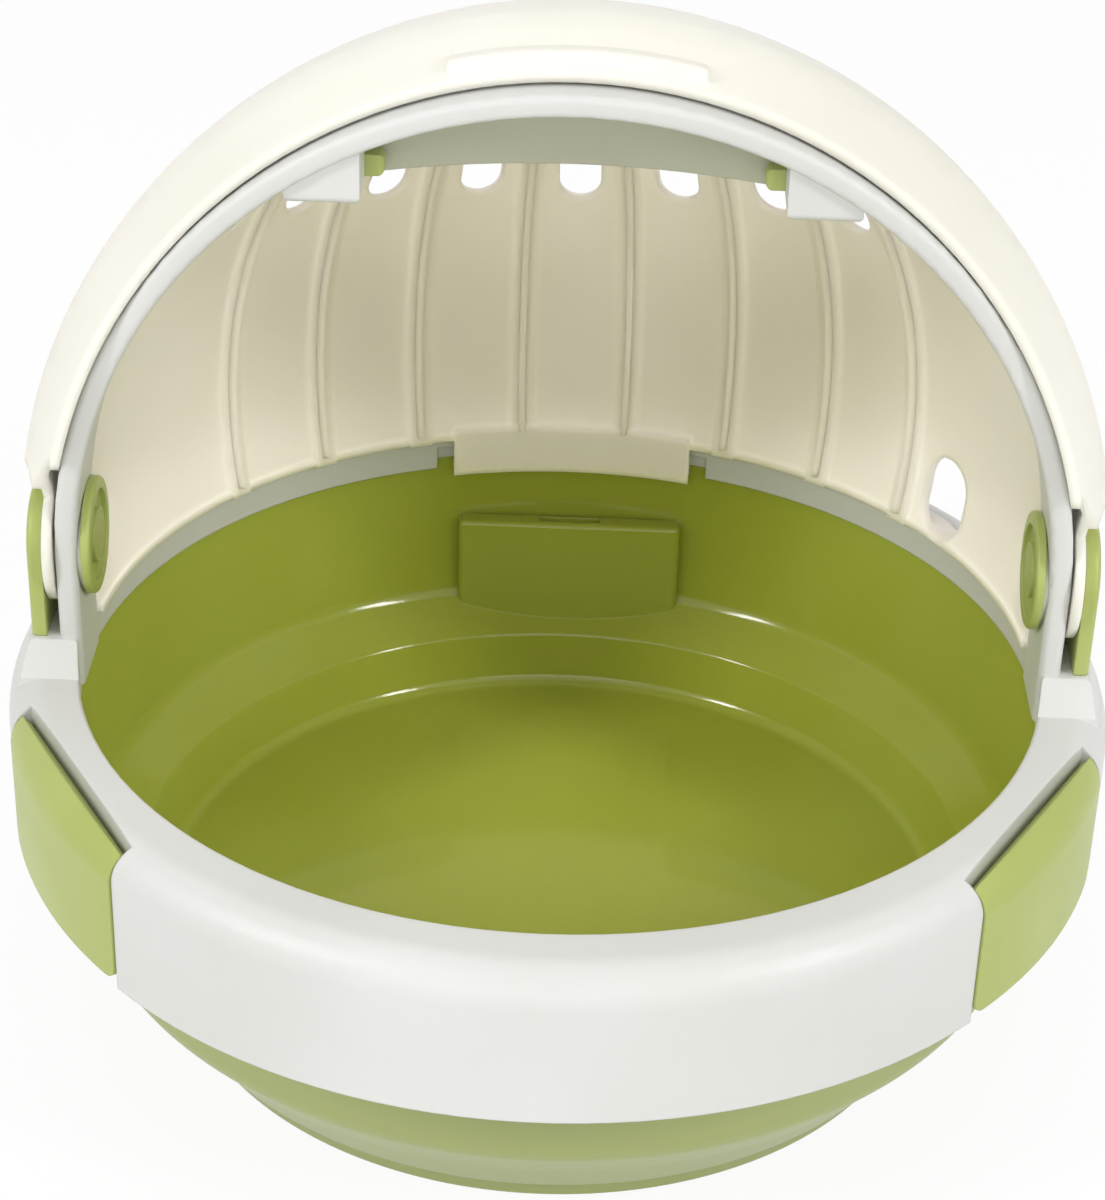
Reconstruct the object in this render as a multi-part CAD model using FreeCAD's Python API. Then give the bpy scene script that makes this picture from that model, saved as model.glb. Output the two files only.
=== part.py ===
import FreeCAD, Part
import math
import os

# Small animal carrier: a round bowl, a ring with a carrying arch, a fixed rear
# shell and a visor that folds back over it.
# Millimetres. Z is up, the front faces -Y, the origin is the centre of the foot.

# Bowl
bowl_top_r = 136.6
bowl_top_z = 95.0
bowl_wall = 2.6
bowl_lean = 4.1
base_top_r = bowl_top_r - bowl_lean
base_top_z = 34.0
base_slope_w = 11.0
base_mid_r = base_top_r - base_slope_w
base_mid_z = 21.0
base_round = 9.0
foot_slope_w = 10.0
foot_step_r = base_mid_r - foot_slope_w
foot_step_z = 7.5
foot_ledge_w = 3.0
foot_top_r = foot_step_r - foot_ledge_w
foot_h = 6.5
foot_lean = 1.5
foot_r = foot_top_r - foot_lean
foot_land = 5.0
ledge_inset = 7.6
ledge_out_r = bowl_top_r - ledge_inset
ledge_out_z = 49.0
ledge_w = 12.0
ledge_in_r = ledge_out_r - ledge_w
ledge_in_z = 38.0
ledge_round = 6.0
floor_lean = 5.5
floor_r = ledge_in_r - floor_lean
floor_z = 23.0
floor_round = 4.0
hollow_inset = 2.0
hollow_peak_r = ledge_out_r - hollow_inset
hollow_peak_z = 41.0
rim_round = 1.2
catch_reach = 9.8
catch_r = bowl_top_r + catch_reach
catch_z = 85.0
catch_h = 3.0
catch_slope = 4.0

# Finger pocket at the rear of the bowl
pocket_w = 70.0
pocket_reach = 15.6
pocket_face_y = bowl_top_r - pocket_reach
pocket_top_z = 75.5
pocket_low_z = 40.0
pocket_round = 9.0
pocket_slot_w = 19.0
pocket_slot_d = 4.0

# Ring
ring_top_z = 103.0
lip_cover = 5.6
lip_r = bowl_top_r - lip_cover
lip_wall = 2.2
lip_low_z = 92.5
seat_play = 0.4
seat_r = bowl_top_r + seat_play
skirt_reach = 13.0
skirt_r = seat_r + skirt_reach
skirt_low_z = 60.5
skirt_wall = 2.6
ring_round = 10.0
ring_edge = 1.0
lip_notch_w = 5.0
lip_notch_h = 7.0

# Saddles where the ring rises to the arch legs
saddle_rise = 7.0
saddle_z = ring_top_z + saddle_rise
saddle_slope_w = 6.0
saddle_round = 2.5
saddle_half_w = 17.0
saddle_ramp_w = 9.0

# Arch and grip
pivot_z = 133.5
arch_stand = 4.0
arch_r = lip_r + arch_stand
arch_wall = 6.0
arch_front_y = -16.0
arch_back_y = 10.0
arch_edge = 2.0
boss_r = 14.5
block_in_x = 53.0
block_w = 19.0
block_low_z = 237.0
block_inset = 2.6
block_round = 4.0
guard_wall = 1.8
guard_mid_drop = 21.0
guard_end_drop = 14.0
guard_gap = 0.3

# Latch buttons in the two blocks
button_side = 5.6
button_reach = 5.0
button_hold = 6.0
button_y = 3.8
button_up = 108.5
button_travel = 4.0
button_gap = 0.4
button_round = 1.8
bore_spare = 1.0

# Rear shell
side_gap = 0.4
shell_inset = 1.0
shell_r = arch_r - shell_inset
shell_wall = 2.5
shell_flange_reach = 3.0
shell_flange_r = shell_r + shell_flange_reach
shell_flange_h = 2.5
rib_w = 7.0
rib_h = 0.9
vent_pitch_deg = 14.3
vent_pairs = 4
rib_pairs = 4
vent_w = 12.2
vent_low = 53.0
vent_low_rise = 2.3
vent_h = 41.5
spout_deg = 57.6
spout_mid = -16.5
spout_w = 18.0
spout_h = 25.0
tongue_w = 73.0
tongue_inset = 4.2
tongue_r = lip_r - tongue_inset
tongue_wall = 2.4
tongue_low_z = 91.5
tongue_top_z = 107.0

# Visor
visor_step = 12.0
visor_r = shell_r + visor_step
visor_wall = 2.5
visor_open_deg = 97.3
rim_offset = 26.0
rim_depth = 23.0
rim_play = 1.2
trail_deg = 190.0
visor_vent_spare = 3.2
visor_vent_drop = 11.0
visor_vent_h = 56.0
visor_spout_deg = 52.0
visor_spout_mid = -25.0
visor_spout_w = 27.0
visor_spout_h = 48.0
tab_w = 64.0
tab_h = 6.0
tab_back = 9.0
tab_wall = 0.8
ear_wall = 2.6
ear_r = 18.0
ear_start_deg = 60.0
ear_end_deg = 4.0
dish_r = 22.0
cap_r = 38.0

# Pivots
pin_r = 4.0
run_gap = 0.06
seat_gap = 0.02
pad_wall = 4.2
pad_r = 15.5
pad_lift = 0.1
pad_round = 1.6
knob_r = 16.0
knob_h = 2.6
knob_groove_in_r = 7.5
knob_groove_out_r = 12.5
knob_groove_d = 1.4
knob_edge = 1.0
pin_head_r = 6.0
pin_head_h = 1.2

# Clips
clip_side_deg = 60.0
clip_rear_deg = 180.0
clip_w = 73.0
clip_gap = 0.5
hinge_inset = 7.8
hinge_u = skirt_r - hinge_inset
hinge_z = 96.0
hinge_r = 2.4
hinge_gap = 0.35
hinge_pin_r = 1.0
hinge_pin_gap = 0.05
hinge_pin_seat = 3.0
cheek_w = 4.5
cheek_h = 9.0
clip_proud = 0.4
clip_wall = 2.8
clip_low_z = 62.5
clip_top_drop = 0.8
clip_nose = 4.0
clip_nose_rise_share = 1.2
clip_web_w = 2.0
clip_web_low_z = 90.5
hook_w = 40.0
hook_bite = 3.5
hook_in_u = catch_r - hook_bite
hook_h = 3.0
hook_gap = 1.8
clip_corner = 4.0

far = 400.0
half_share = 0.5
touch = 0.005

clip_turns = {"front_left": -clip_side_deg, "front_right": clip_side_deg, "rear": clip_rear_deg}


def vec(x, y, z):
    return FreeCAD.Vector(x, y, z)


# The knob's seat is a flat on the arch leg, as deep as the arch has bent in at its edge.
knob_seat_x = math.sqrt((arch_r - arch_wall) ** 2 - (knob_r + side_gap) ** 2)
z_axis = vec(0, 0, 1)
x_axis = vec(1, 0, 0)
y_axis = vec(0, 1, 0)
origin = vec(0, 0, 0)
pivot = vec(0, 0, pivot_z)


def box(x0, x1, y0, y1, z0, z1):
    return Part.makeBox(x1 - x0, y1 - y0, z1 - z0, vec(x0, y0, z0))


def outline(points):
    """Closed outline in the XZ plane; each point is r, z and its corner radius."""
    count = len(points)
    starts = []
    ends = []
    edges = []
    arcs = []
    for i in range(count):
        r, z, rad = points[i]
        here = vec(r, 0, z)
        before = vec(points[i - 1][0], 0, points[i - 1][1])
        after = vec(points[(i + 1) % count][0], 0, points[(i + 1) % count][1])
        if rad == 0:
            starts.append(here)
            ends.append(here)
            arcs.append(None)
            continue
        back = (before - here).normalize()
        on = (after - here).normalize()
        half = back.getAngle(on) * half_share
        run = rad / math.tan(half)
        to_mid = (back + on).normalize()
        mid = here + to_mid * (rad / math.sin(half) - rad)
        starts.append(here + back * run)
        ends.append(here + on * run)
        arcs.append(Part.Arc(here + back * run, mid, here + on * run).toShape())
    for i in range(count):
        if arcs[i] is not None:
            edges.append(arcs[i])
        nxt = (i + 1) % count
        if ends[i].distanceToPoint(starts[nxt]) > touch:
            edges.append(Part.makeLine(ends[i], starts[nxt]))
    return Part.Face(Part.Wire(edges))


def turned(points):
    return outline(points).revolve(origin, z_axis, 360)


def stadium(width, height, depth):
    """Upright bar with round ends, centred in X and Z, running along +Y."""
    half = width * half_share
    up = height * half_share - half
    a = vec(-half, 0, -up)
    b = vec(-half, 0, up)
    c = vec(half, 0, up)
    d = vec(half, 0, -up)
    wire = Part.Wire([
        Part.makeLine(a, b),
        Part.Arc(b, vec(0, 0, up + half), c).toShape(),
        Part.makeLine(c, d),
        Part.Arc(d, vec(0, 0, -up - half), a).toShape(),
    ])
    return Part.Face(wire).extrude(vec(0, depth, 0))


def around(shape, deg):
    """Copy turned about the carrier's upright axis."""
    out = shape.copy()
    out.rotate(origin, z_axis, deg)
    return out


def mirrored(shape):
    return shape.mirror(origin, x_axis)


def rod(radius, start, direction, length):
    return Part.makeCylinder(radius, length, start, direction)


def from_axis(radius, x0, x1):
    """Disc on the pivot axis between two X values."""
    return rod(radius, vec(x0, 0, pivot_z), x_axis, x1 - x0)


def ball(radius):
    return Part.makeSphere(radius, pivot)


def half_space_over(deg):
    """Everything beyond a plane through the pivot axis that points to an angle behind the top."""
    wall = Part.makeBox(far + far, far + far, far, vec(-far, -far, -far))
    wall.rotate(origin, x_axis, 180 - deg)
    wall.translate(pivot)
    return wall


def in_slice(shape, start_deg, end_deg):
    """Part of a shape between two angles about the pivot axis, 0 at the front and 90 on top."""
    return shape.cut(half_space_over(start_deg + 180)).cut(half_space_over(end_deg))


def make_bowl():
    inner_top_r = bowl_top_r - bowl_wall
    outer = turned([
        (0, 0, 0),
        (foot_r, 0, rim_round),
        (foot_top_r, foot_h, 0),
        (foot_step_r, foot_step_z, rim_round),
        (base_mid_r, base_mid_z, base_round),
        (base_top_r, base_top_z, base_round),
        (bowl_top_r, bowl_top_z, rim_round),
        (0, bowl_top_z, 0),
    ])
    catch = turned([
        (bowl_top_r - bowl_wall, catch_z - catch_slope, 0),
        (catch_r, catch_z, 0),
        (catch_r, catch_z + catch_h, 0),
        (bowl_top_r - bowl_wall, catch_z + catch_h, 0),
    ])
    inner = turned([
        (0, floor_z, 0),
        (floor_r, floor_z, floor_round),
        (ledge_in_r, ledge_in_z, rim_round),
        (ledge_out_r, ledge_out_z, ledge_round),
        (inner_top_r, bowl_top_z, 0),
        (0, bowl_top_z, 0),
    ])
    under = turned([
        (0, 0, 0),
        (foot_r - foot_land, 0, 0),
        (foot_step_r - bowl_wall, foot_step_z + bowl_wall, 0),
        (base_mid_r - bowl_wall, base_mid_z + bowl_wall, 0),
        (base_top_r - bowl_wall - bowl_wall, base_top_z + rim_round, 0),
        (hollow_peak_r, hollow_peak_z, 0),
        (ledge_in_r + bowl_wall, ledge_in_z - bowl_wall, 0),
        (floor_r + bowl_wall, floor_z - rim_round, 0),
        (floor_r, floor_z - bowl_wall, 0),
        (0, floor_z - bowl_wall, 0),
    ])
    half = pocket_w * half_share
    box_out = box(-half, half, pocket_face_y, far, pocket_low_z, pocket_top_z)
    low_edges = []
    for edge in box_out.Edges:
        spot = edge.CenterOfMass
        on_face = abs(spot.y - pocket_face_y) < touch
        if abs(abs(spot.x) - half) < touch and (on_face or abs(spot.z - pocket_low_z) < touch):
            low_edges.append(edge)
    box_out = box_out.makeFillet(pocket_round, low_edges)
    room_half = half - bowl_wall
    room = box(-room_half, room_half, pocket_face_y + bowl_wall, far,
               pocket_low_z + bowl_wall + bowl_wall, pocket_top_z - bowl_wall)
    wall_zone = turned([
        (0, pocket_low_z, 0),
        (base_top_r, pocket_low_z, 0),
        (bowl_top_r - rim_round, pocket_top_z, 0),
        (0, pocket_top_z, 0),
    ])
    slot_half = pocket_slot_w * half_share
    slot_y = pocket_face_y + bowl_wall
    slot = box(-slot_half, slot_half, slot_y, slot_y + pocket_slot_d,
               pocket_top_z - bowl_wall - bowl_wall, pocket_top_z + bowl_wall)
    bowl = outer.fuse(catch).cut(inner).cut(under)
    bowl = bowl.fuse(box_out.common(wall_zone)).cut(room).cut(slot)
    return bowl.removeSplitter()


def make_saddle():
    """Rise of the ring round one arch leg, open at the back for the rear shell's foot."""
    low_z = ring_top_z - ring_round
    swell = turned([
        (lip_r, low_z, 0),
        (skirt_r, low_z, 0),
        (skirt_r - saddle_slope_w, saddle_z, saddle_round),
        (lip_r, saddle_z, ring_edge),
    ])
    end_y = saddle_half_w + saddle_ramp_w
    side_wire = Part.makePolygon([
        vec(0, -end_y, low_z),
        vec(0, -end_y, ring_top_z),
        vec(0, -saddle_half_w, saddle_z),
        vec(0, saddle_half_w, saddle_z),
        vec(0, end_y, ring_top_z),
        vec(0, end_y, low_z),
        vec(0, -end_y, low_z),
    ])
    saddle = swell.common(Part.Face(side_wire).extrude(vec(far, 0, 0)))
    foot_room = rod(shell_flange_r + side_gap, vec(0, 0, ring_top_z), z_axis, far)
    return saddle.cut(foot_room.common(box(0, far, arch_back_y, far, 0, far)))


def hinge_rod(radius, length):
    return rod(radius, vec(-length * half_share, -hinge_u, hinge_z), x_axis, length)


# The clips are drawn with their outward side on -Y, then turned to their places.
def make_ring():
    solid = turned([
        (lip_r, skirt_low_z, 0),
        (skirt_r, skirt_low_z, 0),
        (skirt_r, ring_top_z, ring_round),
        (lip_r, ring_top_z, ring_edge),
    ])
    hollow = turned([
        (seat_r, skirt_low_z - ring_round, 0),
        (skirt_r - skirt_wall, skirt_low_z - ring_round, 0),
        (skirt_r - skirt_wall, ring_top_z - skirt_wall, ring_round - skirt_wall),
        (seat_r, ring_top_z - skirt_wall, 0),
    ])
    bowl_room = turned([
        (lip_r - ring_round, 0, 0),
        (seat_r, 0, 0),
        (seat_r, bowl_top_z, 0),
        (lip_r + lip_wall, bowl_top_z, 0),
        (lip_r + lip_wall, lip_low_z, 0),
        (lip_r - ring_round, lip_low_z, 0),
    ])
    saddle = make_saddle()
    ring = solid.cut(hollow).fuse([saddle, mirrored(saddle)])
    room = clip_w * half_share
    cheek_end = room + cheek_w
    for deg in clip_turns.values():
        cheeks = box(-cheek_end, cheek_end, -far, -(hinge_u - hinge_r - cheek_w),
                     hinge_z - cheek_h * half_share, ring_top_z)
        ring = ring.fuse(around(cheeks, deg).common(solid))
    for deg in clip_turns.values():
        gate = box(-room, room, -far, -hinge_u, 0, far)
        groove = hinge_rod(hinge_r + hinge_gap, clip_w)
        above = box(-room, room, -hinge_u, -(hinge_u - hinge_r - hinge_gap), hinge_z, far)
        bore = hinge_rod(hinge_pin_r + seat_gap, clip_w + hinge_pin_seat + hinge_pin_seat)
        for tool in (gate, groove, above, bore):
            ring = ring.cut(around(tool, deg))
    return ring.cut(bowl_room)


def make_arch():
    inner_r = arch_r - arch_wall
    corners = []
    for y in (-arch_back_y, -arch_front_y):
        corners.append((inner_r, y, arch_edge))
        corners.append((arch_r, y, arch_edge))
    corners = [corners[i] for i in (0, 1, 3, 2)]
    section = outline(corners)
    section.rotate(origin, x_axis, 90)
    section.translate(pivot)
    arch = section.revolve(pivot, y_axis, -180)
    legs = section.extrude(vec(0, 0, bowl_top_z - pivot_z))
    arch = arch.fuse([legs, mirrored(legs)])
    boss = from_axis(boss_r, knob_seat_x, arch_r)
    return arch.fuse([boss, mirrored(boss)])


def button_block(grow, x0, x1):
    side = button_side * half_share + grow
    mid_z = pivot_z + button_up
    return box(x0, x1, button_y - side, button_y + side, mid_z - side, mid_z + side)


def make_blocks():
    front_y = arch_front_y + block_inset
    drum = rod(arch_r - arch_edge, vec(0, front_y, pivot_z), y_axis, arch_back_y - front_y)
    block = box(block_in_x, block_in_x + block_w, front_y, arch_back_y, block_low_z, far)
    round_edges = []
    for edge in block.Edges:
        spot = edge.CenterOfMass
        if abs(spot.z - block_low_z) < touch:
            round_edges.append(edge)
    block = block.makeFillet(block_round * half_share, round_edges)
    block = block.common(drum)
    return block, mirrored(block)


def make_frame():
    frame = make_ring().fuse(make_arch())
    frame = frame.fuse(list(make_blocks()))
    bore_end = block_in_x + button_hold + button_travel + bore_spare
    bore = button_block(button_gap, 0, bore_end)
    keep = box(0, block_in_x, -far, far, 0, far)
    bore = bore.cut(keep)
    hole = from_axis(pin_r + seat_gap, 0, far)
    for tool in (bore, mirrored(bore), hole, mirrored(hole)):
        frame = frame.cut(tool)
    side = tongue_w * half_share + side_gap
    notch = box(side, side + lip_notch_w, 0, far, 0, lip_low_z + lip_notch_h)
    inside = turned([
        (0, 0, 0),
        (lip_r + lip_wall, 0, 0),
        (lip_r + lip_wall, far, 0),
        (0, far, 0),
    ])
    notch = notch.common(inside)
    return frame.cut(notch).cut(mirrored(notch)).removeSplitter()


def make_guard():
    inner_r = arch_r - arch_wall
    end_x = block_in_x - guard_gap
    top = math.sqrt(inner_r ** 2 - end_x ** 2)
    low_mid = inner_r - guard_mid_drop
    low_end = top - guard_end_drop
    a = vec(-end_x, 0, top)
    b = vec(end_x, 0, top)
    c = vec(end_x, 0, low_end)
    d = vec(-end_x, 0, low_end)
    wire = Part.Wire([
        Part.Arc(a, vec(0, 0, inner_r), b).toShape(),
        Part.makeLine(b, c),
        Part.Arc(c, vec(0, 0, low_mid), d).toShape(),
        Part.makeLine(d, a),
    ])
    plate = Part.Face(wire).extrude(vec(0, guard_wall, 0))
    plate.translate(vec(0, arch_back_y - guard_wall, pivot_z))
    return plate


def vent_rise(i):
    """Height of a vent's middle above the pivot."""
    return vent_low + vent_low_rise * abs(i) + vent_h * half_share


def shell_vents():
    bars = []
    for i in range(-vent_pairs, vent_pairs + 1):
        bar = stadium(vent_w, vent_h, far)
        bar.translate(vec(0, 0, pivot_z + vent_rise(i)))
        bars.append(around(bar, -i * vent_pitch_deg))
    return bars


def visor_vents():
    """Straight-pull slots behind the shell's vents when the visor is folded back."""
    bars = []
    for i in range(-vent_pairs, vent_pairs + 1):
        rise = vent_rise(i)
        turn = math.radians(i * vent_pitch_deg)
        level_r = math.sqrt((shell_r - shell_wall) ** 2 - rise ** 2)
        lean = math.atan(math.sin(turn) * rise / level_r)
        bar = stadium(vent_w * math.cos(turn) + visor_vent_spare, visor_vent_h, far)
        bar.rotate(origin, y_axis, -math.degrees(lean))
        bar.translate(vec(level_r * math.sin(turn), 0, pivot_z + rise - visor_vent_drop))
        bars.append(bar)
    return bars


def spout_bar(width, height, mid, deg):
    bar = stadium(width, height, far)
    bar.translate(vec(0, 0, pivot_z + mid))
    return around(bar, -deg)


def make_rear_shell():
    rear = box(-far, far, arch_back_y, far, ring_top_z, far)
    inner_r = shell_r - shell_wall
    shell = ball(shell_r).cut(ball(inner_r)).common(rear)
    for i in range(rib_pairs):
        deg = (i + half_share) * vent_pitch_deg
        bar = box(-rib_w * half_share, rib_w * half_share, 0, far, 0, far)
        rib = ball(inner_r + rib_h).cut(ball(inner_r - rib_h)).common(rear)
        shell = shell.fuse(rib.common(around(bar, deg)))
        shell = shell.fuse(rib.common(around(bar, -deg)))
    foot_in_r = math.sqrt(inner_r ** 2 - (pivot_z - ring_top_z) ** 2)
    flange = turned([
        (foot_in_r, ring_top_z, 0),
        (shell_flange_r, ring_top_z, 0),
        (shell_flange_r, ring_top_z + shell_flange_h, 0),
        (foot_in_r, ring_top_z + shell_flange_h, 0),
    ]).common(rear)
    half = tongue_w * half_share
    tongue = turned([
        (tongue_r, tongue_low_z, 0),
        (tongue_r + tongue_wall, tongue_low_z, 0),
        (tongue_r + tongue_wall, ring_top_z, 0),
        (shell_flange_r, ring_top_z, 0),
        (shell_flange_r, ring_top_z + shell_flange_h, 0),
        (tongue_r + tongue_wall, tongue_top_z, 0),
        (tongue_r, tongue_top_z, ring_edge),
    ]).common(box(-half, half, 0, far, 0, far))
    shell = shell.fuse([flange, tongue])
    for bar in shell_vents():
        shell = shell.cut(bar)
    shell = shell.cut(spout_bar(spout_w, spout_h, spout_mid, spout_deg))
    clear = from_axis(boss_r + side_gap, 0, far)
    knob_room = clear.cut(box(-far, shell_r - boss_r, -far, far, 0, far))
    return shell.cut(knob_room).cut(mirrored(knob_room)).removeSplitter()


def rim_line(radius, offset):
    return math.sqrt(radius ** 2 - offset ** 2)


def make_visor():
    inner_r = visor_r - visor_wall
    crease = rim_offset - rim_depth
    top_out = vec(rim_line(visor_r, crease), 0, crease)
    top_in = vec(rim_line(inner_r, crease), 0, crease)
    rim_in_r = rim_line(arch_r + rim_play, rim_offset)
    rim_r = rim_in_r + visor_wall
    edge_out = vec(rim_r, 0, rim_offset)
    edge_in = vec(rim_in_r, 0, rim_offset)
    low_out = vec(0, 0, -visor_r)
    low_in = vec(0, 0, -inner_r)
    lean = (math.atan2(crease, top_out.x) - math.pi * half_share) * half_share
    mid_out = vec(visor_r * math.cos(lean), 0, visor_r * math.sin(lean))
    mid_in = vec(inner_r * math.cos(lean), 0, inner_r * math.sin(lean))
    wire = Part.Wire([
        Part.Arc(low_out, mid_out, top_out).toShape(),
        Part.makeLine(top_out, edge_out),
        Part.makeLine(edge_out, edge_in),
        Part.makeLine(edge_in, top_in),
        Part.Arc(top_in, mid_in, low_in).toShape(),
        Part.makeLine(low_in, low_out),
    ])
    dome = Part.Face(wire).revolve(origin, z_axis, 360)
    half = tab_w * half_share
    tab_top = rim_offset - tab_back + tab_h
    lean_share = tab_back / rim_depth
    slope_r = rim_r + (top_out.x - rim_r) * lean_share
    ring = rod(slope_r + tab_wall, vec(0, 0, tab_top - tab_h), z_axis, tab_h)
    ring = ring.cut(rod(rim_r, vec(0, 0, tab_top - tab_h), z_axis, tab_h))
    dome = dome.fuse(ring.common(box(-half, half, 0, far, 0, far)))
    mid_r = (visor_r + inner_r) * half_share
    foot = vec(0, 0, -mid_r)
    shoulder = (top_out + top_in) * half_share
    brim = (edge_out + edge_in) * half_share
    hub = vec(0, 0, rim_offset)
    core_wire = Part.Wire([
        Part.Arc(foot, (mid_out + mid_in) * half_share, shoulder).toShape(),
        Part.makeLine(shoulder, brim),
        Part.makeLine(brim, hub),
        Part.makeLine(hub, foot),
    ])
    core = Part.Face(core_wire).revolve(origin, z_axis, 360)
    for shape in (dome, core):
        shape.rotate(origin, x_axis, 180 - visor_open_deg)
        shape.translate(pivot)
    dome = dome.cut(half_space_over(trail_deg))
    ear_in = arch_r + side_gap
    ear_out = ear_in + ear_wall
    side = from_axis(cap_r, arch_r - arch_wall, far)
    side = side.cut(in_slice(side, ear_start_deg, trail_deg)).fuse(from_axis(dish_r, shell_r, far))
    dome = dome.cut(side).cut(mirrored(side))
    wall_r = dish_r + visor_wall
    wall = from_axis(wall_r, ear_in, far).cut(from_axis(dish_r, 0, far))
    wall = wall.common(core)
    plate = from_axis(wall_r, ear_in, ear_out)
    ear = in_slice(wall.fuse(plate), ear_start_deg, trail_deg)
    web = from_axis(cap_r, ear_in, far).common(core)
    web = web.cut(from_axis(dish_r, 0, far))
    ear = ear.fuse(in_slice(web, ear_start_deg, ear_start_deg + ear_end_deg))
    disc = from_axis(ear_r, ear_in, ear_out)
    ear = ear.fuse(disc).cut(from_axis(pin_r + run_gap, 0, far))
    visor = dome.fuse([ear, mirrored(ear)])
    for bar in visor_vents():
        visor = visor.cut(bar)
    spout = spout_bar(visor_spout_w, visor_spout_h, visor_spout_mid, visor_spout_deg)
    return visor.cut(spout).removeSplitter()


def make_pad():
    x0 = arch_r + side_gap + ear_wall + side_gap
    top = from_axis(pad_r, x0, x0 + pad_wall)
    leg = box(x0, x0 + pad_wall, -pad_r, pad_r, saddle_z + pad_lift, pivot_z)
    pad = top.fuse(leg).removeSplitter()
    edges = []
    for edge in pad.Edges:
        spot = edge.CenterOfMass
        if abs(spot.x - x0 - pad_wall) < touch and spot.z > saddle_z + pad_round:
            edges.append(edge)
    pad = pad.makeFillet(pad_round, edges)
    return pad.cut(from_axis(pin_r + seat_gap, 0, x0 + pad_wall * half_share))


def make_knob():
    x1 = knob_seat_x
    x0 = x1 - knob_h
    knob = from_axis(knob_r, x0, x1)
    face_edges = []
    for edge in knob.Edges:
        if abs(edge.CenterOfMass.x - x0) < touch:
            face_edges.append(edge)
    knob = knob.makeFillet(knob_edge, face_edges)
    groove = from_axis(knob_groove_out_r, x0, x0 + knob_groove_d)
    groove = groove.cut(from_axis(knob_groove_in_r, x0, x0 + knob_groove_d))
    head = from_axis(pin_head_r + seat_gap, x0 - pin_head_h, x0 + pin_head_h)
    return knob.cut(groove).cut(from_axis(pin_r + seat_gap, 0, far)).cut(head)


def make_pin():
    x0 = knob_seat_x - knob_h
    x1 = arch_r + side_gap + ear_wall + side_gap + pad_wall * half_share
    pin = from_axis(pin_r, x0, x1)
    return pin.fuse(from_axis(pin_head_r, x0, x0 + pin_head_h)).removeSplitter()


def make_clip():
    half = clip_w * half_share - clip_gap
    top_z = ring_top_z - clip_top_drop
    grown = skirt_r + clip_proud
    full = turned([
        (lip_r, clip_low_z, 0),
        (grown, clip_low_z, 0),
        (grown, top_z, ring_round),
        (lip_r, top_z, 0),
    ])
    hollow = turned([
        (0, 0, 0),
        (grown - clip_wall, 0, 0),
        (grown - clip_wall, top_z - clip_wall, ring_round - clip_wall),
        (0, top_z - clip_wall, 0),
    ])
    zone = box(-half, half, -far, -hinge_u, clip_low_z, far)
    low_edges = []
    for edge in zone.Edges:
        spot = edge.CenterOfMass
        if abs(abs(spot.x) - half) < touch and abs(spot.z - clip_low_z) < touch:
            low_edges.append(edge)
    zone = zone.makeFillet(clip_corner, low_edges)
    skin = full.cut(hollow).common(zone)
    barrel = hinge_rod(hinge_r, half + half)
    webs = []
    for share in (-1, 0, 1):
        mid = share * (half - clip_web_w)
        web = box(mid - clip_web_w * half_share, mid + clip_web_w * half_share,
                  -far, -hinge_u, clip_web_low_z, far)
        webs.append(web.common(full))
    hook_top = catch_z - hook_gap
    hook = box(-hook_w * half_share, hook_w * half_share, -far, -hook_in_u, hook_top - hook_h, hook_top)
    hook = hook.common(full)
    clip = skin.fuse(webs + [barrel.common(full), hook])
    reach = far * half_share
    rise = reach * clip_nose_rise_share
    start = vec(0, -hinge_u, hinge_z + clip_nose)
    side_wire = Part.makePolygon([
        start,
        start + vec(0, -reach, rise),
        start + vec(0, hinge_r, rise),
        start + vec(0, hinge_r, 0),
        start,
    ])
    nose = Part.Face(side_wire).extrude(vec(clip_w, 0, 0))
    nose.translate(vec(-clip_w * half_share, 0, 0))
    clip = clip.cut(nose)
    return clip.cut(hinge_rod(hinge_pin_r + hinge_pin_gap, clip_w)).removeSplitter()


def make_clip_pin():
    return hinge_rod(hinge_pin_r, clip_w + hinge_pin_seat + hinge_pin_seat)


def make_button():
    button = button_block(0, block_in_x - button_reach, block_in_x + button_hold)
    tip = block_in_x - button_reach
    edges = []
    for edge in button.Edges:
        if abs(edge.CenterOfMass.x - tip) < touch:
            edges.append(edge)
    return button.makeFillet(button_round, edges)


def main():
    os.makedirs("parts", exist_ok=True)
    parts = {
        "bowl": make_bowl(),
        "carry_frame": make_frame(),
        "finger_guard": make_guard(),
        "rear_shell": make_rear_shell(),
        "visor": make_visor(),
    }
    sided = {
        "pivot_cover": make_pad(),
        "pivot_knob": make_knob(),
        "pivot_pin": make_pin(),
        "latch_button": make_button(),
    }
    for name, shape in sided.items():
        parts[name + "_right"] = shape
        parts[name + "_left"] = mirrored(shape)
    clip = make_clip()
    clip_pin = make_clip_pin()
    for place, deg in clip_turns.items():
        parts["clip_" + place] = around(clip, deg)
        parts["clip_pin_" + place] = around(clip_pin, deg)
    for name, shape in parts.items():
        shape.exportStep("parts/" + name + ".step")


main()
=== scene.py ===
import math

import bmesh
import bpy
from bpy.props import FloatProperty, FloatVectorProperty, IntProperty, PointerProperty
from mathutils import Matrix, Vector


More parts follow.
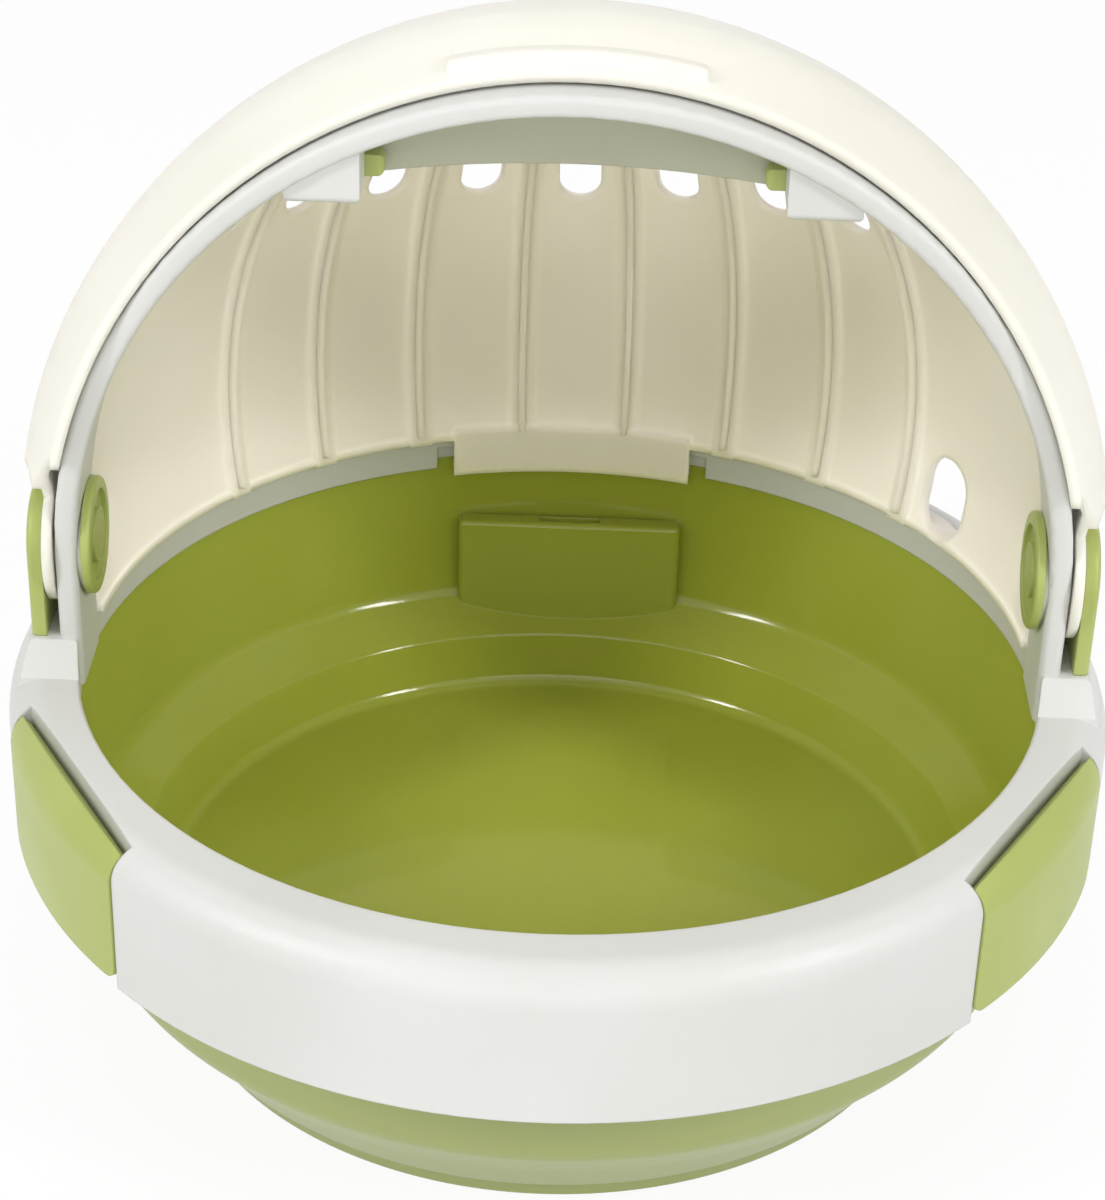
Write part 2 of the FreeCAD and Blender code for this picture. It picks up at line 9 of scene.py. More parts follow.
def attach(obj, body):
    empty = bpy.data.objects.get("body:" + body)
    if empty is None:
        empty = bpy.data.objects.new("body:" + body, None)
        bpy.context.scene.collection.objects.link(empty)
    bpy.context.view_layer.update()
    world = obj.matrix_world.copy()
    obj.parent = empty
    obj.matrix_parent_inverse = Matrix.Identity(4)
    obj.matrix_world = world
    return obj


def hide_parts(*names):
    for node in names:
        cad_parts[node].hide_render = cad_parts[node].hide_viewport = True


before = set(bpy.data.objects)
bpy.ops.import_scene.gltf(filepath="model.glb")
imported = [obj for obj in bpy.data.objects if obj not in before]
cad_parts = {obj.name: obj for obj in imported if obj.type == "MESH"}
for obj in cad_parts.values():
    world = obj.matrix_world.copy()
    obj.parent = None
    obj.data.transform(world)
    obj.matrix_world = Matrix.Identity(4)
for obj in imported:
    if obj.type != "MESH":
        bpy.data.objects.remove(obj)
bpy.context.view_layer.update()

bl_info = {
    "name": "Small animal carrier",
    "version": (1, 0, 0),
    "blender": (4, 5, 0),
    "location": "View3D > Sidebar > Carrier",
    "description": "Dresses the packed carrier: bowl, carrying frame, shells, pivots and clips",
    "category": "Object",
}

WELD = 2e-6                 # points of a frame node closer than this are one point
SEAM = 1e-6                 # the same for a piece that is built here
TURN_SEAM = 1e-5            # the same for the seam of a turned wall
SLIVER = 1e-7               # edges shorter than this are dropped
SKIN_CREASE = 26.0          # degrees; a frame node's edge that turns more stays sharp
BOWL_CREASE = 30.0
RIB_CREASE = 60.0
QUARTER = 90.0


def shown(red, green, blue):
    """Linear colour of a display colour given in 0 to 255."""
    out = []
    for value in (red, green, blue):
        share = value / 255.0
        out.append(share / 12.92 if share <= 0.04045 else ((share + 0.055) / 1.055) ** 2.4)
    return (*out, 1.0)


def length(label, text, default):
    return FloatProperty(name=label, description=text, default=default, unit="LENGTH", precision=5)


def colour(label, text, default):
    return FloatVectorProperty(name=label, description=text, default=default, size=4,
                               subtype="COLOR", min=0.0, max=1.0)


def place_of(label, text, default):
    return FloatVectorProperty(name=label, description=text, default=default, size=3,
                               subtype="TRANSLATION", unit="LENGTH")


def size_of(label, text, default):
    return FloatVectorProperty(name=label, description=text, default=default, size=2, unit="LENGTH")


class CarrierBowlSizes(bpy.types.PropertyGroup):
    wall: length("Wall", "Thickness of the bowl's wall", 0.0026)
    top_radius: length("Top radius", "Outer radius of the bowl at its rim", 0.1366)
    top_height: length("Top height", "Height of the bowl's rim over the foot", 0.095)
    floor_radius: length("Floor radius", "Radius of the raised floor", 0.1115)
    floor_height: length("Floor height", "Height of the raised floor", 0.023)
    floor_lift: length("Floor lift", "Rise of the underside at the floor's edge", 0.0014)
    step_radius: length("Step radius", "Radius of the step round the floor", 0.1170)
    step_height: length("Step height", "Height of that step over the floor", 0.015)
    ledge_radius: length("Ledge radius", "Radius at which the ledge meets the wall", 0.1290)
    ledge_height: length("Ledge height", "Height of the ledge over the floor", 0.026)
    web_inset: length("Web inset", "Underside of the ledge in from the wall", 0.002)
    web_drop: length("Web drop", "Underside of the ledge below it", 0.008)
    foot_radius: length("Foot radius", "Outer radius of the foot", 0.107)
    foot_width: length("Foot width", "Width of the foot's standing face", 0.005)
    foot_height: length("Foot height", "Height of the foot", 0.0065)
    foot_lean: length("Foot lean", "How far the foot leans out", 0.0015)
    foot_step: length("Foot step", "Rise of the step over the foot", 0.001)
    base_radius: length("Base radius", "Outer radius at the lower bend", 0.1215)
    base_height: length("Base height", "Height of the lower bend", 0.021)
    shoulder_radius: length("Shoulder radius", "Outer radius at the upper bend", 0.1325)
    shoulder_height: length("Shoulder height", "Height of the upper bend", 0.034)
    shoulder_lift: length("Shoulder lift", "Rise of the underside at the upper bend", 0.0012)
    neck_inset: length("Neck inset", "Wall below the catch, in from the rim", 0.0009)
    lip_inset: length("Lip inset", "Wall above the catch, in from the rim", 0.0005)
    catch_reach: length("Catch reach", "How far the catch ring stands out", 0.0098)
    catch_top: length("Catch top", "Top of the catch ring below the rim", 0.007)
    catch_edge: length("Catch edge", "Lower edge of the catch ring below the rim", 0.010)
    catch_root: length("Catch root", "Root of the catch ring below the rim", 0.014)
    pocket_width: length("Pocket width", "Width of the finger pocket", 0.070)
    pocket_face: length("Pocket face", "Distance of the pocket's face from the axis", 0.121)
    pocket_low: length("Pocket low", "Height of the pocket's bottom", 0.040)
    pocket_high: length("Pocket high", "Height of the pocket's top", 0.0755)
    pocket_corner: length("Pocket corner", "Radius of the pocket's lower corners", 0.009)
    pocket_soft: length("Pocket rim", "Radius of the pocket's rim", 0.0016)
    pocket_depth: length("Pocket depth", "Depth of the room for the fingers", 0.030)
    pocket_sink: length("Pocket sink", "How far the pocket sinks into the wall", 0.001)
    slot_width: length("Slot width", "Width of the slot over the pocket", 0.019)
    slot_depth: length("Slot depth", "Depth of the slot over the pocket", 0.004)
    segments: IntProperty(name="Segments", description="Steps round the bowl", default=192, min=48)
    corner_steps: IntProperty(name="Corner steps", description="Steps in each rounded corner",
                              default=6, min=2)
    pocket_steps: IntProperty(name="Pocket steps", description="Steps in each corner of the pocket",
                              default=8, min=2)


class CarrierBowlRounds(bpy.types.PropertyGroup):
    inside: length("Inside", "Corners hidden inside the foot", 0.001)
    under: length("Under", "Corners of the floor's underside", 0.0008)
    heel: length("Heel", "Inner edge of the foot", 0.0004)
    toe: length("Toe", "Outer edge of the foot", 0.0012)
    crook: length("Crook", "Corner between foot and base", 0.0005)
    tread: length("Tread", "Edge of the step over the foot", 0.0014)
    bend: length("Bend", "Bends of the outer wall", 0.009)
    catch: length("Catch", "Edges of the catch ring", 0.0006)
    rim: length("Rim", "Outer edge of the rim", 0.0012)
    lip: length("Lip", "Inner edge of the rim", 0.0010)
    ledge: length("Ledge", "Hollow where the ledge meets the wall", 0.008)
    step: length("Step", "Edge of the step round the floor", 0.002)
    floor: length("Floor", "Hollow round the floor", 0.0045)


class CarrierRibSizes(bpy.types.PropertyGroup):
    count: IntProperty(name="Ribs", description="Ribs inside the rear shell", default=8, min=1)
    pitch: FloatProperty(name="Pitch", description="Turn from one rib to the next",
                         default=math.radians(14.3), subtype="ANGLE")
    width: length("Rib width", "Width of a rib's crown", 0.0068)
    height: length("Rib height", "How far a rib stands in from the shell", 0.00112)
    radius: length("Shell radius", "Inner radius of the rear shell", 0.1315)
    pivot_height: length("Pivot height", "Height of the dome's centre over the foot", 0.1335)
    foot_height: length("Foot height", "Height at which a rib begins", 0.1055)
    top_angle: FloatProperty(name="Top angle", description="Angle above level at which a rib ends",
                             default=math.radians(74.0), subtype="ANGLE")
    steps: IntProperty(name="Steps", description="Steps along a rib", default=64, min=8)
    section_steps: IntProperty(name="Section steps", description="Steps round a rib", default=20, min=8)


class CarrierFinish(bpy.types.PropertyGroup):
    green: colour("Green", "Green plastic of the bowl", shown(170, 179, 74))
    green_deep: colour("Deep green", "Green plastic where it runs thicker", shown(162, 170, 60))
    # Painted sheen: a paler green on the bowl's outward faces, standing in for reflections of the bright
    # room
    green_painted_sheen: colour("Outer green", "Green plastic on the bowl's outside", shown(153, 161, 100))
    # Partly painted sheen: the clips and pivots are the bowl's green plastic, set paler here to stand in
    # for reflections on their outward faces
    trim: colour("Trim green", "Satin green plastic of the clips and pivots", shown(173, 183, 106))
    trim_deep: colour("Deep trim green", "Satin green where it runs thicker", shown(164, 174, 92))
    white: colour("White", "White plastic of the carrying frame", shown(212, 212, 209))
    white_deep: colour("Deep white", "White plastic in its slower tone", shown(206, 206, 202))
    # Partly the plastic's own colour and partly painted light: the rear shell and the visor are one
    # ivory plastic, and the shell's ivory is set lighter and whiter to stand in for light shining
    # through the thin shell
    ivory: colour("Ivory", "Ivory plastic of the rear shell", shown(253, 246, 238))
    ivory_deep: colour("Deep ivory", "Ivory plastic in its slower tone", shown(249, 241, 229))
    visor: colour("Visor ivory", "Ivory plastic of the visor", shown(234, 231, 220))
    visor_deep: colour("Deep visor ivory", "Visor plastic in its slower tone", shown(228, 225, 212))
    # Painted shade: the guard is ivory plastic; this greyer ivory stands in for the shade it lies in
    # behind the grip
    shade: colour("Guard", "Greyer ivory plastic of the guard behind the grip", shown(184, 184, 162))
    painted_shade_deep: colour("Deep guard", "Guard plastic in its slower tone", shown(177, 177, 154))
    steel: colour("Steel", "Steel of the hinge pins", shown(190, 190, 188))
    edge_lift: FloatProperty(name="Edge lift", description="Brightness of worn edges", default=1.06)
    edge_fade: FloatProperty(name="Edge fade", description="Saturation of worn edges", default=0.92)
    grain_share: FloatProperty(name="Grain share", description="Share of fine grain in the relief",
                               default=0.7, subtype="FACTOR", min=0.0, max=1.0)
    grain_height: length("Grain height", "Height of the relief at full strength", 0.0004)
    pin_height: length("Pin relief", "Height of the drawing marks on the pins", 0.0002)
    outer_rough: FloatProperty(name="Outer roughness", description="Roughness of the bowl's outside",
                               default=0.4, subtype="FACTOR", min=0.0, max=1.0)
    index: FloatProperty(name="Index", description="How strongly the plastic bends light", default=1.49)
    edge_radius: length("Edge radius", "Radius that the light sees on moulded edges", 0.0007)
    rib_radius: length("Rib radius", "Radius that the light sees on ribs and shell edges", 0.0028)


class CarrierStage(bpy.types.PropertyGroup):
    distance: length("Camera distance", "Camera to the middle of the ring", 0.82)
    aim_height: length("Aim height", "Height that the camera aims at", 0.103)
    azimuth: FloatProperty(name="Azimuth", description="Camera's turn round the carrier",
                           default=math.radians(0.8), subtype="ANGLE")
    elevation: FloatProperty(name="Elevation", description="Camera's angle above the floor",
                             default=math.radians(31.0), subtype="ANGLE")
    roll: FloatProperty(name="Roll", description="Camera's tilt about its own line of sight",
                        default=math.radians(1.8), subtype="ANGLE")
    lens: FloatProperty(name="Lens", description="Focal length for a 36 mm sensor", default=89.4)
    shift: FloatVectorProperty(name="Shift", description="Framing of the picture", size=2,
                               default=(-0.0063, 0.0405))
    sensor: FloatProperty(name="Sensor", description="Sensor's width in millimetres", default=36.0)
    key_place: place_of("Key place", "Right front lamp, mirrored for the left", (1.15, -0.85, 1.05))
    key_size: size_of("Key size", "Width and height of the two front lamps", (0.22, 0.5))
    fill_place: place_of("Fill place", "Wide lamp behind the camera", (0.0, -1.9, 0.75))
    fill_size: size_of("Fill size", "Width and height of the wide lamp", (1.6, 1.2))
    top_place: place_of("Top place", "Lamp overhead", (0.0, 0.1, 1.6))
    top_size: size_of("Top size", "Width and depth of the lamp overhead", (1.4, 1.4))
    floor_half: length("Floor half", "Half of the floor's width", 6.0)
    floor_drop: length("Floor drop", "Floor below the foot, so that the faces never meet", 0.0002)
    floor_tone: colour("Floor tone", "Tone of the floor", shown(252, 252, 252))
    sky: FloatProperty(name="Sky", description="Strength of the even light all round", default=0.55)
    key: FloatProperty(name="Key", description="Power of the two front lamps", default=9.2,
                       unit="POWER")
    fill: FloatProperty(name="Fill", description="Power of the wide lamp behind the camera",
                        default=6.2, unit="POWER")
    top: FloatProperty(name="Top", description="Power of the lamp overhead", default=5.0,
                       unit="POWER")
    floor_white: FloatProperty(name="Floor white", description="Share of plain white in the floor",
                               default=0.9, subtype="FACTOR", min=0.0, max=1.0)


def put(tree, kind, settings, sockets):
    """New node with its settings; a socket is given a value or another node's output."""
    node = tree.nodes.new(kind)
    for key, value in settings.items():
        setattr(node, key, value)
    for key, value in sockets.items():
        if isinstance(value, bpy.types.NodeSocket):
            tree.links.new(value, node.inputs[key])
        else:
            node.inputs[key].default_value = value
    return node


def new_group(name, kind, inputs, outputs):
    tree = bpy.data.node_groups.new(name, kind)
    for label, socket, default in inputs:
        made = tree.interface.new_socket(label, in_out="INPUT", socket_type=socket)
        if default is not None:
            made.default_value = default
    for label, socket in outputs:
        tree.interface.new_socket(label, in_out="OUTPUT", socket_type=socket)
    return tree, tree.nodes.new("NodeGroupInput").outputs, tree.nodes.new("NodeGroupOutput")


def moulded_surface():
    """Shared effect: fine grain, slow flow of the melt and a roughness that follows them."""
    name = "Moulded surface"
    if name in bpy.data.node_groups:
        return bpy.data.node_groups[name]
    tree, given, out = new_group(
        name, "ShaderNodeTree",
        [("Vector", "NodeSocketVector", None), ("Grain Scale", "NodeSocketFloat", 900.0),
         ("Grain Share", "NodeSocketFloat", 0.5), ("Flow Scale", "NodeSocketFloat", 14.0),
         ("Roughness", "NodeSocketFloat", 0.4), ("Roughness Spread", "NodeSocketFloat", 0.08)],
        [("Height", "NodeSocketFloat"), ("Roughness", "NodeSocketFloat"), ("Tone", "NodeSocketFloat")])
    grain = put(tree, "ShaderNodeTexNoise", {}, {
        "Vector": given["Vector"], "Scale": given["Grain Scale"], "Detail": 2.0, "Roughness": 0.55})
    flow = put(tree, "ShaderNodeTexNoise", {}, {
        "Vector": given["Vector"], "Scale": given["Flow Scale"], "Detail": 2.0, "Roughness": 0.4})
    height = put(tree, "ShaderNodeMix", {"data_type": "FLOAT"}, {
        "Factor": given["Grain Share"], "A": flow.outputs["Fac"], "B": grain.outputs["Fac"]})
    swing = put(tree, "ShaderNodeMath", {"operation": "SUBTRACT"}, {0: flow.outputs["Fac"], 1: 0.5})
    rough = put(tree, "ShaderNodeMath", {"operation": "MULTIPLY_ADD"}, {
        0: swing.outputs[0], 1: given["Roughness Spread"], 2: given["Roughness"]})
    tone = put(tree, "ShaderNodeMapRange", {"interpolation_type": "SMOOTHSTEP"}, {
        "Value": flow.outputs["Fac"], "From Min": 0.35, "From Max": 0.65})
    tree.links.new(height.outputs["Result"], out.inputs["Height"])
    tree.links.new(rough.outputs[0], out.inputs["Roughness"])
    tree.links.new(tone.outputs["Result"], out.inputs["Tone"])
    return tree


def soft_edges():
    """Shared effect: a rounded normal on sharp edges, and a mask of where they are."""
    name = "Soft edges"
    if name in bpy.data.node_groups:
        return bpy.data.node_groups[name]
    tree, given, out = new_group(
        name, "ShaderNodeTree",
        [("Radius", "NodeSocketFloat", 0.0007)],
        [("Normal", "NodeSocketVector"), ("Edge", "NodeSocketFloat")])
    bevel = put(tree, "ShaderNodeBevel", {"samples": 6}, {"Radius": given["Radius"]})
    plain = put(tree, "ShaderNodeNewGeometry", {}, {})
    match = put(tree, "ShaderNodeVectorMath", {"operation": "DOT_PRODUCT"}, {
        0: bevel.outputs["Normal"], 1: plain.outputs["Normal"]})
    edge = put(tree, "ShaderNodeMapRange", {}, {
        "Value": match.outputs["Value"], "From Min": 1.0, "From Max": 0.8})
    tree.links.new(bevel.outputs["Normal"], out.inputs["Normal"])
    tree.links.new(edge.outputs["Result"], out.inputs["Edge"])
    return tree


def painted_sheen_mask(tree, place, normal):
    """Mask of the faces that look away from the upright axis, where the painted sheen goes."""
    away = put(tree, "ShaderNodeVectorMath", {"operation": "MULTIPLY"}, {
        0: place, 1: (1.0, 1.0, 0.0)})
    out_line = put(tree, "ShaderNodeVectorMath", {"operation": "NORMALIZE"}, {
        0: away.outputs["Vector"]})
    facing = put(tree, "ShaderNodeVectorMath", {"operation": "DOT_PRODUCT"}, {
        0: out_line.outputs["Vector"], 1: normal})
    side = put(tree, "ShaderNodeMapRange", {"interpolation_type": "SMOOTHSTEP"}, {
        "Value": facing.outputs["Value"], "From Min": 0.1, "From Max": 0.4})
    return side.outputs["Result"]


def plastic(name, main, deep, *, rough, spread, grain, depth, flow, bleed, reach, painted_sheen_tone=None,
            edge=None):
    """Moulded plastic: two close tones, fine grain, edges a little lighter and light bleeding in."""
    if name in bpy.data.materials:
        return bpy.data.materials[name]
    finish = bpy.context.scene.carrier_finish
    material = bpy.data.materials.new(name)
    material.use_nodes = True
    tree = material.node_tree
    tree.nodes.clear()
    place = put(tree, "ShaderNodeTexCoord", {}, {}).outputs["Object"]
    skin = put(tree, "ShaderNodeGroup", {"node_tree": moulded_surface()}, {
        "Vector": place, "Grain Scale": grain, "Grain Share": finish.grain_share,
        "Flow Scale": flow, "Roughness": rough, "Roughness Spread": spread})
    edges = put(tree, "ShaderNodeGroup", {"node_tree": soft_edges()}, {
        "Radius": edge or finish.edge_radius})
    tones = put(tree, "ShaderNodeMix", {"data_type": "RGBA"}, {
        "Factor": skin.outputs["Tone"]})
    tones.inputs["A"].default_value = main
    tones.inputs["B"].default_value = deep
    paint = tones.outputs["Result"]
    gloss = skin.outputs["Roughness"]
    # Painted sheen: outward faces get a paler colour, standing in for reflections of the bright room
    if painted_sheen_tone is not None:
        side = painted_sheen_mask(tree, place, edges.outputs["Normal"])
        both = put(tree, "ShaderNodeMix", {"data_type": "RGBA"}, {"Factor": side})
        tree.links.new(paint, both.inputs["A"])
        both.inputs["B"].default_value = painted_sheen_tone
        paint = both.outputs["Result"]
        dull = put(tree, "ShaderNodeMix", {"data_type": "FLOAT"}, {
            "Factor": side, "A": gloss, "B": finish.outer_rough})
        gloss = dull.outputs["Result"]
    pale = put(tree, "ShaderNodeHueSaturation", {}, {
        "Saturation": finish.edge_fade, "Value": finish.edge_lift, "Fac": edges.outputs["Edge"],
        "Color": paint})
    bump = put(tree, "ShaderNodeBump", {}, {
        "Strength": depth, "Distance": finish.grain_height, "Height": skin.outputs["Height"],
        "Normal": edges.outputs["Normal"]})
    look = put(tree, "ShaderNodeBsdfPrincipled", {"subsurface_method": "BURLEY"}, {
        "Base Color": pale.outputs["Color"], "Roughness": gloss,
        "Normal": bump.outputs["Normal"], "IOR": finish.index, "Subsurface Weight": bleed,
        "Subsurface Scale": reach, "Subsurface Radius": (1.0, 1.0, 1.0)})
    out = put(tree, "ShaderNodeOutputMaterial", {}, {"Surface": look.outputs["BSDF"]})
    tree.nodes.active = out
    return material


def glossy_green():
    finish = bpy.context.scene.carrier_finish
    return plastic("Glossy green plastic", finish.green, finish.green_deep, rough=0.11, spread=0.06,
                   grain=700.0, depth=0.02, flow=9.0, bleed=0.12, reach=0.002,
                   painted_sheen_tone=finish.green_painted_sheen)


def satin_green():
    finish = bpy.context.scene.carrier_finish
    # The trim greens are the bowl's green set paler, a painted sheen standing in for reflections
    return plastic("Satin green plastic", finish.trim, finish.trim_deep, rough=0.38, spread=0.10,
                   grain=1500.0, depth=0.10, flow=14.0, bleed=0.12, reach=0.002)


def white_plastic():
    finish = bpy.context.scene.carrier_finish
    return plastic("White plastic", finish.white, finish.white_deep, rough=0.42, spread=0.10,
                   grain=1500.0, depth=0.10, flow=11.0, bleed=0.10, reach=0.002)


def ivory_plastic():
    # The rear shell's ivory carries painted light for the light shining through it; the visor keeps the
    # darker copy of the same plastic
    finish = bpy.context.scene.carrier_finish
    return plastic("Ivory plastic", finish.ivory, finish.ivory_deep, rough=0.46, spread=0.12,
                   grain=1300.0, depth=0.10, flow=10.0, bleed=0.8, reach=0.006,
                   edge=finish.rib_radius)


def visor_plastic():
    finish = bpy.context.scene.carrier_finish
    return plastic("Visor plastic", finish.visor, finish.visor_deep, rough=0.40, spread=0.12,
                   grain=1300.0, depth=0.08, flow=10.0, bleed=0.5, reach=0.004,
                   edge=finish.rib_radius)


def guard_painted_shade_plastic():
    # Ivory plastic greyed as painted shade for the guard behind the grip
    finish = bpy.context.scene.carrier_finish
    return plastic("Guard plastic", finish.shade, finish.painted_shade_deep, rough=0.5, spread=0.10,
                   grain=1300.0, depth=0.10, flow=10.0, bleed=0.1, reach=0.002)


def pin_steel():
    name = "Pin steel"
    if name in bpy.data.materials:
        return bpy.data.materials[name]
    finish = bpy.context.scene.carrier_finish
    material = bpy.data.materials.new(name)
    material.use_nodes = True
    tree = material.node_tree
    shade = tree.nodes["Principled BSDF"]
    place = put(tree, "ShaderNodeTexCoord", {}, {})
    skin = put(tree, "ShaderNodeGroup", {"node_tree": moulded_surface()}, {
        "Vector": place.outputs["Object"], "Grain Scale": 2600.0, "Grain Share": 0.9,
        "Flow Scale": 60.0, "Roughness": 0.32, "Roughness Spread": 0.15})
    bump = put(tree, "ShaderNodeBump", {}, {
        "Strength": 0.08, "Distance": finish.pin_height, "Height": skin.outputs["Height"]})
    tree.links.new(skin.outputs["Roughness"], shade.inputs["Roughness"])
    tree.links.new(bump.outputs["Normal"], shade.inputs["Normal"])
    shade.inputs["Base Color"].default_value = finish.steel
    shade.inputs["Metallic"].default_value = 1.0
    return material


def mount(piece, body, slot, *nodes):
    """Puts a finished piece on its body, in place of the frame nodes it stands for."""
    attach(piece, body)
    if nodes:
        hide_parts(*nodes)
    return piece


def new_piece(name, mesh, material):
    mesh.name = name
    piece = bpy.data.objects.new(name, mesh)
    bpy.context.scene.collection.objects.link(piece)
    mesh.materials.clear()
    mesh.materials.append(material)
    return piece


def smoothed(bm, crease):
    """Smooth faces, with edges over the crease angle kept sharp."""
    for face in bm.faces:
        face.smooth = True
    for edge in bm.edges:
        edge.smooth = edge.calc_face_angle(0.0) < crease


def skin_of(node, name, material):
    """Merged, smooth-shaded copy of a frame node."""
    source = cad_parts[node].data
    bm = bmesh.new()
    points = [bm.verts.new(v.co) for v in source.vertices]
    for polygon in source.polygons:
        bm.faces.new([points[i] for i in polygon.vertices])
    bmesh.ops.remove_doubles(bm, verts=bm.verts, dist=WELD)
    bmesh.ops.dissolve_degenerate(bm, edges=bm.edges, dist=SLIVER)
    smoothed(bm, math.radians(SKIN_CREASE))
    mesh = bpy.data.meshes.new(name)
    bm.to_mesh(mesh)
    bm.free()
    piece = new_piece(name, mesh, material)
    weigh = piece.modifiers.new("Even shading", "WEIGHTED_NORMAL")
    weigh.keep_sharp = True
    return piece


def turned_wall_nodes():
    """Geometry nodes: a profile curve with rounded corners, turned about the upright axis."""
    name = "Turned wall"
    if name in bpy.data.node_groups:
        return bpy.data.node_groups[name]
    tree, given, out = new_group(
        name, "GeometryNodeTree",
        [("Profile", "NodeSocketGeometry", None), ("Segments", "NodeSocketInt", 192),
         ("Corner Steps", "NodeSocketInt", 6), ("Path Radius", "NodeSocketFloat", 1.0),
         ("Material", "NodeSocketMaterial", None)],
        [("Mesh", "NodeSocketGeometry")])
    corner = put(tree, "GeometryNodeInputNamedAttribute", {"data_type": "FLOAT"}, {"Name": "radius"})
    rounded = put(tree, "GeometryNodeFilletCurve", {"mode": "POLY"}, {
        "Curve": given["Profile"], "Count": given["Corner Steps"],
        "Radius": corner.outputs["Attribute"], "Limit Radius": True})
    place = put(tree, "ShaderNodeSeparateXYZ", {}, {
        0: put(tree, "GeometryNodeInputPosition", {}, {}).outputs["Position"]})
    inset = put(tree, "ShaderNodeMath", {"operation": "SUBTRACT"}, {
        0: place.outputs["X"], 1: given["Path Radius"]})
    drop = put(tree, "ShaderNodeMath", {"operation": "MULTIPLY"}, {0: place.outputs["Z"], 1: -1.0})
    flat = put(tree, "ShaderNodeCombineXYZ", {}, {"X": inset.outputs[0], "Y": drop.outputs[0]})
    section = put(tree, "GeometryNodeSetPosition", {}, {
        "Geometry": rounded.outputs["Curve"], "Position": flat.outputs[0]})
    path = put(tree, "GeometryNodeCurvePrimitiveCircle", {}, {
        "Resolution": given["Segments"], "Radius": given["Path Radius"]})
    wall = put(tree, "GeometryNodeCurveToMesh", {}, {
        "Curve": path.outputs["Curve"], "Profile Curve": section.outputs["Geometry"]})
    closed = put(tree, "GeometryNodeMergeByDistance", {}, {
        "Geometry": wall.outputs["Mesh"], "Distance": TURN_SEAM})
    real = put(tree, "GeometryNodeRealizeInstances", {}, {"Geometry": closed.outputs["Geometry"]})
    dressed = put(tree, "GeometryNodeSetMaterial", {}, {
        "Geometry": real.outputs["Geometry"], "Material": given["Material"]})
    tree.links.new(dressed.outputs["Geometry"], out.inputs["Mesh"])
    return tree


def rib_row_nodes():
    """Geometry nodes: crowned ribs that follow the inside of the dome, evenly turned."""
    name = "Rib row"
    if name in bpy.data.node_groups:
        return bpy.data.node_groups[name]
    tree, given, out = new_group(
        name, "GeometryNodeTree",
        [("Geometry", "NodeSocketGeometry", None), ("Count", "NodeSocketInt", 8),
         ("Steps", "NodeSocketInt", 64), ("Section Steps", "NodeSocketInt", 20),
         ("Pitch", "NodeSocketFloat", 0.25), ("Width", "NodeSocketFloat", 0.008),
         ("Height", "NodeSocketFloat", 0.001), ("Radius", "NodeSocketFloat", 0.13),
         ("Centre Height", "NodeSocketFloat", 0.13), ("Start", "NodeSocketFloat", 0.0),
         ("Sweep", "NodeSocketFloat", 1.0), ("Material", "NodeSocketMaterial", None)],
        [("Mesh", "NodeSocketGeometry")])
    arc = put(tree, "GeometryNodeCurveArc", {"mode": "RADIUS"}, {
        "Resolution": given["Steps"], "Radius": given["Radius"], "Start Angle": given["Start"],
        "Sweep Angle": given["Sweep"]})
    upright = put(tree, "GeometryNodeTransform", {}, {
        "Geometry": arc.outputs["Curve"], "Rotation": (math.pi / 2, 0.0, math.pi / 2)})
    oval = put(tree, "GeometryNodeCurvePrimitiveCircle", {}, {
        "Resolution": given["Section Steps"], "Radius": 0.5})
    whole = put(tree, "ShaderNodeMath", {"operation": "MULTIPLY"}, {0: given["Height"], 1: 2.0})
    shape = put(tree, "ShaderNodeCombineXYZ", {}, {
        "X": whole.outputs[0], "Y": given["Width"], "Z": 1.0})
    section = put(tree, "GeometryNodeTransform", {}, {
        "Geometry": oval.outputs["Curve"], "Scale": shape.outputs[0]})
    rib = put(tree, "GeometryNodeCurveToMesh", {}, {
        "Curve": upright.outputs["Geometry"], "Profile Curve": section.outputs["Geometry"],
        "Fill Caps": True})
    spot = put(tree, "ShaderNodeCombineXYZ", {}, {"Z": given["Centre Height"]})
    row = put(tree, "GeometryNodeMeshLine", {}, {
        "Count": given["Count"], "Start Location": spot.outputs[0], "Offset": (0.0, 0.0, 0.0)})
    last = put(tree, "ShaderNodeMath", {"operation": "SUBTRACT"}, {0: given["Count"], 1: 1.0})
    middle = put(tree, "ShaderNodeMath", {"operation": "MULTIPLY"}, {0: last.outputs[0], 1: 0.5})
    index = put(tree, "GeometryNodeInputIndex", {}, {})
    step = put(tree, "ShaderNodeMath", {"operation": "SUBTRACT"}, {
        0: index.outputs["Index"], 1: middle.outputs[0]})
    angle = put(tree, "ShaderNodeMath", {"operation": "MULTIPLY"}, {
        0: step.outputs[0], 1: given["Pitch"]})
    turn = put(tree, "ShaderNodeCombineXYZ", {}, {"Z": angle.outputs[0]})
    ribs = put(tree, "GeometryNodeInstanceOnPoints", {}, {
        "Points": row.outputs["Mesh"], "Instance": rib.outputs["Mesh"], "Rotation": turn.outputs[0]})
    real = put(tree, "GeometryNodeRealizeInstances", {}, {"Geometry": ribs.outputs["Instances"]})
    dressed = put(tree, "GeometryNodeSetMaterial", {}, {
        "Geometry": real.outputs["Geometry"], "Material": given["Material"]})
    tree.links.new(dressed.outputs["Geometry"], out.inputs["Mesh"])
    return tree


